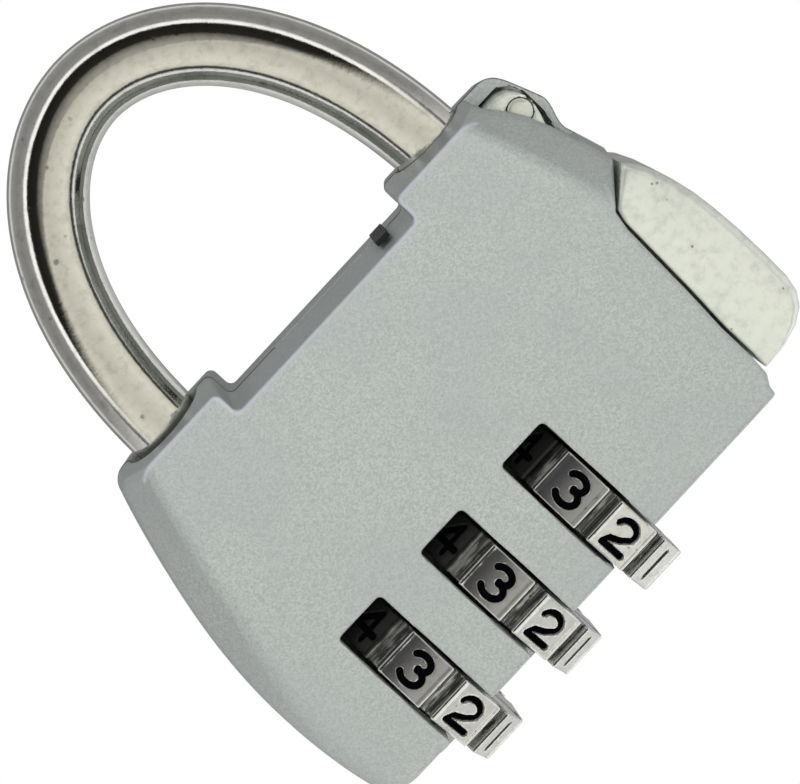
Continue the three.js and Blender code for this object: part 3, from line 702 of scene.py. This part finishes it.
class Mat(Nodes):
    """A material; texture scales are per millimetre, other lengths in metres."""

    INPUTS = {"color": "Base Color", "rough": "Roughness", "metal": "Metallic",
              "normal": "Normal", "spec": "Specular IOR Level"}

    def __init__(self, name):
        self.material = bpy.data.materials.new(name)
        self.material.use_nodes = True
        super().__init__(self.material.node_tree)
        self.bsdf = next(n for n in self.tree.nodes if n.type == "BSDF_PRINCIPLED")
        self.place = self.node("ShaderNodeTexCoord").outputs["Object"]

    def coords(self, scale=(1, 1, 1)):
        node = self.node("ShaderNodeMapping")
        node.inputs["Scale"].default_value = scale
        self.put(node.inputs["Vector"], self.place)
        return node.outputs["Vector"]

    def noise(self, per_mm, detail=2.0, rough=0.5, stretch=(1, 1, 1)):
        node = self.node("ShaderNodeTexNoise")
        node.inputs["Scale"].default_value = per_mm * 1000
        node.inputs["Detail"].default_value = detail
        node.inputs["Roughness"].default_value = rough
        self.put(node.inputs["Vector"], self.coords(stretch))
        return node.outputs["Fac"]

    def voronoi(self, per_mm):
        node = self.node("ShaderNodeTexVoronoi")
        node.inputs["Scale"].default_value = per_mm * 1000
        self.put(node.inputs["Vector"], self.coords())
        return node.outputs

    def specks(self, per_mm, ragged, noise, over, strength):
        """Scattered spots, their edges made ragged by noise."""
        cells = self.voronoi(per_mm)
        roughened = self.math("MULTIPLY", self.noise(**noise), ragged)
        distance = self.math("ADD", cells["Distance"], roughened)
        return self.fade(distance, over, (strength, 0.0))

    def attribute(self, name):
        return self.node("ShaderNodeAttribute", attribute_name=name).outputs["Fac"]

    def geometry(self, name):
        return self.xyz(self.node("ShaderNodeNewGeometry").outputs[name])

    def bump(self, height, strength, distance):
        node = self.node("ShaderNodeBump")
        node.inputs["Strength"].default_value = strength
        node.inputs["Distance"].default_value = distance
        self.put(node.inputs["Height"], height)
        return node.outputs["Normal"]

    def finish(self, **looks):
        for key, value in looks.items():
            self.put(self.bsdf.inputs[self.INPUTS[key]], value)
        return self.material


# ------------------------------------------------------------------- materials
def paint_material():
    m = Mat("silver_grey_paint")
    fine = m.noise(per_mm=15.0, detail=3.0, rough=0.62)
    cloud = m.noise(per_mm=0.16)
    flake = m.node("ShaderNodeSeparateColor")
    m.put(flake.inputs[0], m.voronoi(per_mm=11.0)["Color"])
    grain = m.math(
        "ADD", m.math("MULTIPLY", fine, 0.65), m.math("MULTIPLY", flake.outputs[0], 0.35))
    color = m.ramp(grain, [
        (0.3, lin(176, 182, 179)), (0.5, lin(191, 197, 193)), (0.72, lin(206, 211, 207))])
    color = m.mix(m.fade(cloud, over=(0.35, 0.65), to=(0, 0.35)), color, lin(182, 188, 187))
    # small dark pits in the paint
    spot = m.specks(
        per_mm=0.9, ragged=0.05, noise=dict(per_mm=3.0), over=(0.035, 0.07), strength=0.55)
    color = m.mix(spot, color, lin(120, 124, 132))
    # painted highlight: brighter paint along the upper edges
    color = m.mix(m.math("MULTIPLY", m.attribute("edge_highlight"), 0.75), color, lin(238, 239, 250))
    # shade in the parting line, on faces that don't look forwards or back
    off = m.math("ABSOLUTE", m.math("ADD", m.xyz(m.place)[1], REAR_H * MM))
    off = m.math("ADD", off, m.math("MULTIPLY", m.noise(per_mm=1.2), 0.00006))
    seam = m.fade(off, over=(0.00013, 0.00033), to=(0.93, 0.0))
    facing = m.math("ABSOLUTE", m.geometry("Normal")[1])
    seam = m.math("MULTIPLY", seam, m.fade(facing, over=(0.55, 0.9), to=(1.0, 0.0)))
    color = m.mix(seam, color, lin(22, 26, 28))
    rough = m.fade(fine, over=(0.3, 0.7), to=(0.36, 0.5))
    swell = m.math("MULTIPLY", m.noise(per_mm=5.0, detail=3.0, rough=0.6), 1.0)
    height = m.math("ADD", swell, m.math("MULTIPLY", spot, -0.6))
    normal = m.bump(height, strength=0.16, distance=0.00004)
    return m.finish(color=color, rough=rough, metal=0.3, normal=normal)


def chrome_material(name, tint, rough, spot, spots_per_mm, metal=1.0, grain=0.1):
    """Plated metal; spot is how dark its specks are, grain how strong its bumps are."""
    m = Mat(name)
    tone = m.noise(per_mm=1.6, detail=4.0, rough=0.65)
    cloud = m.noise(per_mm=0.35)
    color = m.ramp(tone, [(0.28, tinted(tint, 0.8)), (0.5, tint), (0.75, tinted(tint, 1.06))])
    dark = m.specks(
        per_mm=spots_per_mm, ragged=0.12, noise=dict(per_mm=2.5, detail=3.0, rough=0.7),
        over=(0.1, 0.17), strength=spot)
    color = m.mix(dark, color, lin(70, 66, 58))
    haze = m.fade(cloud, over=(0.3, 0.7), to=(rough * 0.8, rough * 1.3))
    haze = m.math("ADD", haze, m.math("MULTIPLY", dark, 0.25))
    height = m.noise(per_mm=3.5, detail=4.0, rough=0.6)
    height = m.math("ADD", height, m.math("MULTIPLY", dark, -1.5))
    normal = m.bump(height, strength=grain, distance=0.00004)
    return m.finish(color=color, rough=haze, metal=metal, normal=normal)


def steel_material(name, tint, rough, stretch):
    m = Mat(name)
    lines = m.noise(per_mm=5.0, detail=3.0, rough=0.6, stretch=stretch)
    cloud = m.noise(per_mm=0.5, detail=3.0, rough=0.6)
    color = m.ramp(lines, [(0.3, tinted(tint, 0.72)), (0.55, tint), (0.8, tinted(tint, 1.15))])
    color = m.mix(m.fade(cloud, over=(0.4, 0.7), to=(0, 0.4)), color, tinted(tint, 0.75))
    haze = m.fade(lines, over=(0.3, 0.7), to=(rough * 0.8, rough * 1.25))
    normal = m.bump(lines, strength=0.12, distance=0.00003)
    return m.finish(color=color, rough=haze, metal=1.0, normal=normal)


def dial_material():
    m = Mat("plated_dial")
    tone = m.noise(per_mm=2.4, detail=4.0, rough=0.65)
    color = m.ramp(tone, [
        (0.3, lin(222, 223, 214)), (0.5, lin(244, 244, 237)), (0.75, lin(250, 250, 246))])
    dark = m.specks(
        per_mm=1.6, ragged=0.1, noise=dict(per_mm=4.0), over=(0.12, 0.17), strength=0.6)
    color = m.mix(dark, color, lin(112, 108, 100))
    # painted reflection: a flat that faces the viewer is darkened, as if it mirrored the unlit side
    # of the studio
    weight = m.node("ShaderNodeLayerWeight")
    weight.inputs["Blend"].default_value = 0.5
    reflection_noise = m.math("SUBTRACT", m.noise(per_mm=1.5, detail=4.0, rough=0.7), 0.5)
    facing = m.math("ADD", weight.outputs["Facing"], m.math("MULTIPLY", reflection_noise, 0.17))
    shade = m.math(
        "MULTIPLY", m.fade(facing, over=(0.03, 0.1), to=(1.0, 0.0)),
        m.fade(m.attribute("across"), over=(-0.9, 1.0), to=(0.95, 0.45)))
    color = m.mix(shade, color, lin(46, 43, 52))
    # painted shadow: dark towards the top, where the dial goes into its window
    height = m.math(
        "ADD", m.geometry("Position")[2],
        m.math("MULTIPLY", m.noise(per_mm=1.5, detail=3.0), 0.0004))
    window_shadow = m.fade(height, over=(-0.0040, -0.0036), to=(0.0, 0.95))
    # painted shade down in the grooves, in streaks along them
    groove = m.attribute("groove")
    line = m.noise(per_mm=5.0, rough=0.6, stretch=(0.15, 1, 1))
    groove_shade = m.math(
        "MULTIPLY", m.fade(groove, over=(0.1, 0.6)),
        m.fade(line, over=(0.42, 0.58), to=(0.35, 0.95)))
    color = m.mix(groove_shade, color, lin(74, 76, 74))
    wobble = m.math("SUBTRACT", m.noise(per_mm=6.0, detail=3.0, rough=0.6), 0.5)
    wobble = m.math("MULTIPLY", wobble, 0.03)
    ink = m.math("ADD", m.attribute("ink"), wobble)
    ink = m.fade(ink, over=(-0.02, 0.03), to=(1.0, 0.0))
    # painted shadow under the window's top edge
    color = m.mix(window_shadow, color, lin(16, 15, 18))
    color = m.mix(ink, color, lin(8, 8, 10))
    return m.finish(
        color=color,
        rough=m.mix(ink, (0.27, 0.27, 0.27), (0.7, 0.7, 0.7)),
        metal=m.math("MULTIPLY", m.math("SUBTRACT", 1.0, ink), 0.72),
        spec=m.math("MULTIPLY", m.math("SUBTRACT", 1.0, ink), 0.5),
        normal=m.bump(tone, strength=0.12, distance=0.00004),
    )


def plastic_material():
    m = Mat("black_plastic")
    tone = m.noise(per_mm=4.0, detail=3.0, rough=0.6)
    return m.finish(
        color=m.ramp(tone, [(0.3, lin(9, 9, 11)), (0.7, lin(22, 22, 25))]),
        rough=m.fade(tone, over=(0.3, 0.7), to=(0.42, 0.6)),
        metal=0.0,
        normal=m.bump(tone, strength=0.2, distance=0.00004),
    )


def brass_material():
    m = Mat("turned_brass")
    lines = m.noise(per_mm=4.0, detail=3.0, rough=0.6, stretch=(4, 0.6, 0.6))
    cloud = m.noise(per_mm=0.6)
    color = m.ramp(lines, [
        (0.3, lin(168, 132, 70)), (0.55, lin(206, 170, 98)), (0.8, lin(226, 196, 128))])
    color = m.mix(m.fade(cloud, over=(0.45, 0.7), to=(0, 0.5)), color, lin(140, 108, 60))
    # painted shade in the corners and gaps
    corner = m.node("ShaderNodeAmbientOcclusion", samples=6)
    corner.inputs["Distance"].default_value = 0.003
    corner_shade = m.fade(corner.outputs["AO"], over=(0.25, 0.8), to=(1.0, 0.0))
    return m.finish(
        color=m.mix(corner_shade, color, lin(10, 9, 8)),
        rough=m.fade(lines, over=(0.3, 0.7), to=(0.22, 0.36)),
        metal=1.0,
        normal=m.bump(lines, strength=0.12, distance=0.00003),
    )


PAINT = paint_material()
SHACKLE_MAT = chrome_material(
    "plated_shackle", lin(236, 234, 226), rough=0.07, spot=0.525, spots_per_mm=0.55)
LEVER_MAT = chrome_material(
    "plated_lever", lin(240, 244, 233), rough=0.3, spot=0.6375, spots_per_mm=1.1, metal=0.55,
    grain=0.3)
PIN_MAT = chrome_material(
    "plated_pin", lin(236, 238, 226), rough=0.2, spot=0.375, spots_per_mm=0.8, metal=0.6)
DIAL_MAT = dial_material()
STEEL = steel_material(
    "machined_steel", lin(176, 178, 182), rough=0.3, stretch=(0.25, 1, 1))
WIRE = steel_material("spring_wire", lin(158, 162, 168), rough=0.26, stretch=(1, 1, 1))
RIVET = steel_material("rivet_steel", lin(186, 187, 188), rough=0.28, stretch=(1, 1, 1))
BLACK = plastic_material()
BRASS = brass_material()


# -------------------------------------------------------------------- pieces
def dress(ob, material):
    ob.data.materials.clear()
    ob.data.materials.append(material)


def fit(ob, material, body, node):
    """Dresses a piece that rides on a body and stands in for a CAD node."""
    dress(ob, material)
    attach(ob, body)
    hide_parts(node)


def build_case():
    for side, node, low, high in (
        (-1, "front_case", (-17.6, -6.6, -1.7), (17.6, 0.3, 22.0)),
        (1, "rear_case", (-17.6, -0.3, -1.7), (17.6, 7.0, 22.0)),
    ):
        field = functools.partial(case_half, side=side)
        points, quads = surface_mesh(field, low, high, CASE_CELL)
        x, y, z = points.T
        out = side * y
        # painted highlight: bright where the outline meets the face, fading in towards the top
        from_wall = outline(x, z, side, DRAFT * np.maximum(out, 0))
        from_face = out - face_depth(x, z, side)
        edge_highlight = np.clip(1.2 - np.abs(from_wall - from_face) / 0.22, 0, 1)
        edge_highlight = edge_highlight * step(11.0, 17.0, z) * (from_wall > -0.6) * (from_face > -0.6)
        ob = mesh_object(node + "_shell", points, quads, sharp=50, attributes={"edge_highlight": edge_highlight})
        fit(ob, PAINT, "case", node)


def build_lever():
    points, quads = surface_mesh(lever_field, (12.4, -5.8, 0.5), (18.1, 5.7, 20.9), LEVER_CELL)
    ob = mesh_object("release_lever_body", points, quads, sharp=55)
    fit(ob, LEVER_MAT, "lever", "release_lever")


def build_dials():
    points, quads = surface_mesh(dial_field, (-1.6, -6.4, -6.4), (1.6, 6.4, 6.4), DIAL_CELL)
    x, y, z = points.T
    _, turn, height, groove_height, groove_offset, pen = dial_parts(x, y, z)
    attributes = {
        "ink": np.maximum(pen, (FLAT_R - 0.2) - height),
        "groove": np.clip((5.95 - groove_height) / 0.35, 0, 1) * (groove_offset < 0.6),
        "across": turn / 14,
    }
    for i, (dial_x, degrees) in enumerate(zip(DIAL_X, (-10.0, -10.0, -14.5)), 1):
        cos, sin = math.cos(math.radians(degrees)), math.sin(math.radians(degrees))
        turned = np.stack(
            [x + dial_x, y * cos - z * sin + AXIS_Y, y * sin + z * cos + AXIS_Z], 1)
        ob = mesh_object(
            f"dial_wheel_{i}_body", turned, quads, sharp=50, attributes=attributes)
        fit(ob, DIAL_MAT, f"dial_{i}", f"dial_wheel_{i}")


# Shackle stations: z, radius
TOE = [
    (15.2, 1.25), (15.22, 1.36), (15.35, 1.5), (15.55, 1.7), (15.75, 1.9), (15.95, 2.06),
    (16.15, 2.14), (16.5, LEG_R), (17.0, LEG_R), (17.8, LEG_R), (18.8, LEG_R),
]
HEEL = [(z, LEG_R) for z in (18.4, 18.2, 18.11, 18.09, 16.21, 16.19, 16.1, 15, 13, 11, 10)] + [
    (9.82, LEG_R), (9.8, 1.6), (9.2, 1.6), (9.18, LEG_R), (9.0, LEG_R),
    (8.8, LEG_R - 0.02), (8.66, LEG_R - 0.08), (8.6, LEG_R - 0.2),
]
ARCH_Z, ARCH_RISE = 20.0, 16.3
ARCH_POWER_X, ARCH_POWER_Z = 1.03, 0.89  # how far the arch is from an ellipse
CATCH_X, CATCH_Z = 11.68, (16.2, 18.1)  # the notch on the heel's +X side


def build_shackle():
    """One bar from the chamfered toe over the arch to the heel."""
    arch = np.array([
        (
            LEG_X * math.copysign(abs(math.cos(a)) ** ARCH_POWER_X, math.cos(a)),
            0,
            ARCH_Z + ARCH_RISE * abs(math.sin(a)) ** ARCH_POWER_Z,
        )
        for a in np.radians(np.linspace(180, 0, 141))
    ])
    # even steps along the arch
    length = np.r_[0, np.cumsum(np.linalg.norm(np.diff(arch, axis=0), axis=1))]
    stations = np.linspace(0, length[-1], 161)
    arch = np.stack([np.interp(stations, length, arch[:, k]) for k in range(3)], 1)
    path = np.array(
        [(-LEG_X, 0, z) for z, _ in TOE] + [tuple(p) for p in arch]
        + [(LEG_X, 0, z) for z, _ in HEEL])
    radii = np.array([r for _, r in TOE] + [LEG_R] * len(arch) + [r for _, r in HEEL])
    tangent = unit(np.gradient(path, axis=0))
    side = np.tile(np.array((0, 1, 0), float), (len(path), 1))
    side -= (side * tangent).sum(1)[:, None] * tangent
    rings = tube(path, tangent, unit(side), radii, 64)
    x, z = rings[:, :, 0], rings[:, :, 2]
    x[(z > CATCH_Z[0]) & (z < CATCH_Z[1]) & (x > CATCH_X)] = CATCH_X
    ob = rings_object("shackle_bar", rings, sharp=40)
    fit(ob, SHACKLE_MAT, "shackle", "shackle")


def build_springs():
    wire = helix("z", (LEG_X, 0), (1.93, 8.57), coil_radius=1.55, wire=0.25, turns=6, sides=14)
    ob = rings_object("shackle_spring_wire", wire)
    dress(ob, WIRE)
    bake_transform(ob)
    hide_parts("shackle_spring")
    # Springs along X: node, centre in Y and Z, span in X, coil radius, wire radius, turns;
    # then the squash's name, its X and its amount
    for node, centre, span, coil_radius, thickness, turns, squash, squash_x, amount in (
        ("bar_spring", (3.1, 13.85), (-5.66, -0.94), 0.58, 0.15, 7.5, "bar_slide", -0.9, 0.58),
        ("reset_spring", (AXIS_Y, AXIS_Z), (-14.52, -12.23), 1.32, 0.17, 3.5,
         "reset_shift", -14.55, 0.56),
    ):
        wire = helix("x", centre, span, coil_radius, thickness, turns, sides=10)
        ob = rings_object(node + "_wire", wire)
        dress(ob, WIRE)
        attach(ob, "case")
        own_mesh(ob)
        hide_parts(node)


# Turned profiles: radius, y
PIN_PROFILE = (
    (0.02, -2.27), (0.2, -2.268), (0.42, -2.25), (0.57, -2.22), (0.65, -2.17), (0.68, -2.1),
    (0.68, -2.0), (0.66, -1.95), (0.66, 3.95), (0.6, 4.0), (0.02, 4.0),
)
RIVET_PROFILE = (
    (0.02, -4.2), (0.5, -4.2), (0.56, -4.12), (0.56, 6.1), (0.6, 6.24), (1.06, 6.24),
    (1.14, 6.32), (1.14, 6.42), (1.06, 6.53), (0.9, 6.6), (0.62, 6.65), (0.3, 6.63),
    (0.24, 6.55), (0.02, 6.53),
)


def turned_piece(node, profile, x, z, sides, material):
    ob = rings_object(node + "_body", lathe(profile, x, z, sides), sharp=40)
    fit(ob, material, "case", node)


# CAD nodes that stay: material, width of the softened edges in metres
KEPT = {
    "heel_stop_ring": (WIRE, 0.00006),
    "catch_spring": (WIRE, 0.00006),
    "locking_bar": (STEEL, 0.00009),
    "code_sleeve_1": (BRASS, 0.00005),
    "code_sleeve_2": (BRASS, 0.00005),
    "code_sleeve_3": (BRASS, 0.00005),
    "dial_axle": (STEEL, 0.00005),
    "axle_stop_ring": (WIRE, 0.00004),
    "reset_slider": (BLACK, 0.00008),
    "detent_strip": (WIRE, 0.00006),
}


def soften_kept_nodes():
    for node, (material, width) in KEPT.items():
        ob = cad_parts[node]
        ob.data.materials.clear()
        ob.data.materials.append(material)
        bevel = ob.modifiers.new("soft_edges", "BEVEL")
        bevel.width = width
        bevel.segments = 2
        bevel.limit_method = "ANGLE"
        bevel.angle_limit = math.radians(40)
        bevel.harden_normals = False


build_case()
build_lever()
build_dials()
build_shackle()
build_springs()
turned_piece("lever_pivot_pin", PIN_PROFILE, PIN_X, PIN_Z, 64, PIN_MAT)
for number, (rivet_x, rivet_z) in enumerate(RIVETS, 1):
    turned_piece(f"case_rivet_{number}", RIVET_PROFILE, rivet_x, rivet_z, 48, RIVET)
soften_kept_nodes()

# --------------------------------------------------------- floor, light, view
scene = bpy.context.scene
scene.view_settings.view_transform = "Standard"
scene.view_settings.look = "None"
scene.view_settings.exposure = 0.0
scene.view_settings.gamma = 1.0

FLOOR_Z, FLOOR_HALF = -3.3, 0.6  # design millimetres, scene metres
TARGET = Vector((-0.00046, -0.0067, 0.0035))
AZIMUTH = math.radians(2.5)  # 0 looks along +Y
ELEVATION = math.radians(8.0)
ROLL = math.radians(47.4)  # turns the picture anticlockwise
DISTANCE = 0.2105


def floor_material():
    """A pale floor: plain white to the camera, with no horizon, and absent from mirrors."""
    m = Mat("studio_floor")
    tone = m.ramp(m.noise(per_mm=0.02), [(0.3, 0.88), (0.7, 0.93)])
    m.finish(color=tone, rough=0.85, metal=0.0, spec=0.1)
    rays = m.node("ShaderNodeLightPath").outputs
    white = m.node("ShaderNodeEmission")
    m.put(white.inputs["Color"], (1, 1, 1))
    out = next(n for n in m.tree.nodes if n.type == "OUTPUT_MATERIAL")
    seen = m.mix_shader(rays["Is Camera Ray"], m.bsdf.outputs[0], white.outputs[0])
    clear = m.node("ShaderNodeBsdfTransparent").outputs[0]
    m.put(out.inputs["Surface"], m.mix_shader(rays["Is Glossy Ray"], seen, clear))
    return m.material


def build_floor():
    material = floor_material()
    z = float(row((0, 0, FLOOR_Z))[2])
    corners = [(x * FLOOR_HALF, y * FLOOR_HALF, z) for x, y in ((-1, -1), (1, -1), (1, 1), (-1, 1))]
    mesh = bpy.data.meshes.new("floor")
    mesh.from_pydata(corners, [], [(0, 1, 2, 3)])
    floor = bpy.data.objects.new("floor", mesh)
    scene.collection.objects.link(floor)
    floor.data.materials.append(material)
    floor.visible_shadow = False


def view_matrix():
    back = Vector((
        math.sin(AZIMUTH) * math.cos(ELEVATION),
        -math.cos(AZIMUTH) * math.cos(ELEVATION),
        math.sin(ELEVATION),
    ))
    right = Vector((math.cos(AZIMUTH), math.sin(AZIMUTH), 0))
    up = back.cross(right)
    rolled_right = right * math.cos(ROLL) - up * math.sin(ROLL)
    rolled_up = right * math.sin(ROLL) + up * math.cos(ROLL)
    matrix = Matrix((rolled_right, rolled_up, back)).transposed().to_4x4()
    matrix.translation = TARGET + back * DISTANCE
    return matrix


def build_camera():
    data = bpy.data.cameras.new("photo_view")
    data.lens = 180.0
    data.sensor_width = 36
    data.clip_start = 0.005
    data.clip_end = 5
    camera = bpy.data.objects.new("photo_view", data)
    scene.collection.objects.link(camera)
    camera.matrix_world = view_matrix()
    scene.camera = camera
    return camera.matrix_world.to_3x3()


def area_light(name, place, size, power):
    """A square light; place is in metres right, up and towards the camera."""
    data = bpy.data.lights.new(name, "AREA")
    data.shape = "RECTANGLE"
    data.size = size
    data.size_y = size
    data.energy = power
    light = bpy.data.objects.new(name, data)
    scene.collection.objects.link(light)
    position = TARGET + VIEW @ Vector(place)
    light.location = position
    light.rotation_euler = (TARGET - position).to_track_quat("-Z", "Y").to_euler()
    light.visible_glossy = False


def warm(v):
    return (v, v * (1 - 0.01), v * (1 - 0.1))


def cool(v):
    return (v, v * 1.01, v * 1.03)


# The studio in reflections, by angle from the line of sight as a share of half a turn
SHACKLE_RINGS = [
    (0.0, warm(0.4)), (0.08, warm(0.28)), (0.13, warm(0.16)), (0.165, warm(0.02)),
    (0.31, warm(0.012)), (0.33, cool(1.1)), (0.365, cool(1.1)), (0.40, cool(0.3)),
    (0.52, cool(0.24)), (0.66, cool(0.3)), (0.73, cool(0.75)), (0.77, cool(0.26)),
    (1.0, cool(0.22)),
]
DIAL_RINGS = [
    (0.0, warm(0.48)), (0.08, warm(0.62)), (0.28, warm(0.78)), (0.355, warm(0.66)),
    (0.38, warm(0.05)), (0.41, warm(0.05)), (0.435, cool(0.8)), (0.62, cool(0.86)),
    (0.78, cool(0.5)), (1.0, cool(0.35)),
]
SHACKLE_WAY = math.radians(137.4)  # the way to the shackle's side, in the camera's plane


def build_world():
    """Rings about the line of sight for glossy rays, white for the camera, dim otherwise."""
    world = bpy.data.worlds.new("studio")
    scene.world = world
    world.use_nodes = True
    w = Nodes(world.node_tree)
    w.tree.nodes.clear()
    out = w.node("ShaderNodeOutputWorld")
    direction = w.node("ShaderNodeTexCoord").outputs["Generated"]
    rays = w.node("ShaderNodeLightPath").outputs

    def calc(operation, a, b=0.0):
        return w.math(operation, a, b, 0.0)

    def along(axis):
        node = w.node("ShaderNodeVectorMath", operation="DOT_PRODUCT")
        w.put(node.inputs[0], direction)
        node.inputs[1].default_value = VIEW @ Vector(axis)
        return node.outputs["Value"]

    def background(color, strength):
        node = w.node("ShaderNodeBackground")
        w.put(node.inputs["Color"], color)
        node.inputs["Strength"].default_value = strength
        return node.outputs[0]

    sight = along((0, 0, 1))
    sideways = along((math.cos(SHACKLE_WAY), math.sin(SHACKLE_WAY), 0))
    squared = calc("SUBTRACT", 1.0, calc("MULTIPLY", sight, sight))
    ring = calc("SQRT", calc("MAXIMUM", squared, 1e-5))
    side = calc("DIVIDE", sideways, ring)
    cosine = calc("MINIMUM", calc("MAXIMUM", sight, -1.0), 1.0)
    angle = calc("DIVIDE", calc("ARCCOSINE", cosine), math.pi)
    # noise keeps the rings from being perfect circles
    noise = w.node("ShaderNodeTexNoise")
    noise.inputs["Scale"].default_value = 2.2
    noise.inputs["Detail"].default_value = 2.0
    w.put(noise.inputs["Vector"], direction)
    wobble = calc("SUBTRACT", noise.outputs["Fac"], 0.5)
    angle = calc("ADD", angle, calc("MULTIPLY", wobble, 0.03))
    shackle_side = w.ramp(angle, SHACKLE_RINGS)
    dial_side = w.ramp(angle, DIAL_RINGS)
    gloss = w.mix(w.fade(side, over=(-0.22, 0.1)), dial_side, shackle_side)
    dim = background((1.0, 1.0, 0.99), strength=0.2)
    lit = w.mix_shader(rays["Is Glossy Ray"], dim, background(gloss, strength=1.0))
    white = background((1, 1, 1), strength=1.0)
    w.put(out.inputs["Surface"], w.mix_shader(rays["Is Camera Ray"], lit, white))


build_floor()
VIEW = build_camera()  # the camera's axes
area_light("key", place=(-0.04, 0.10, 0.42), size=0.34, power=1.0)
area_light("low_right", place=(0.05, -0.05, 0.062), size=0.06, power=0.045)
area_light("left_fill", place=(-0.3, -0.05, 0.2), size=0.25, power=0.2)
build_world()
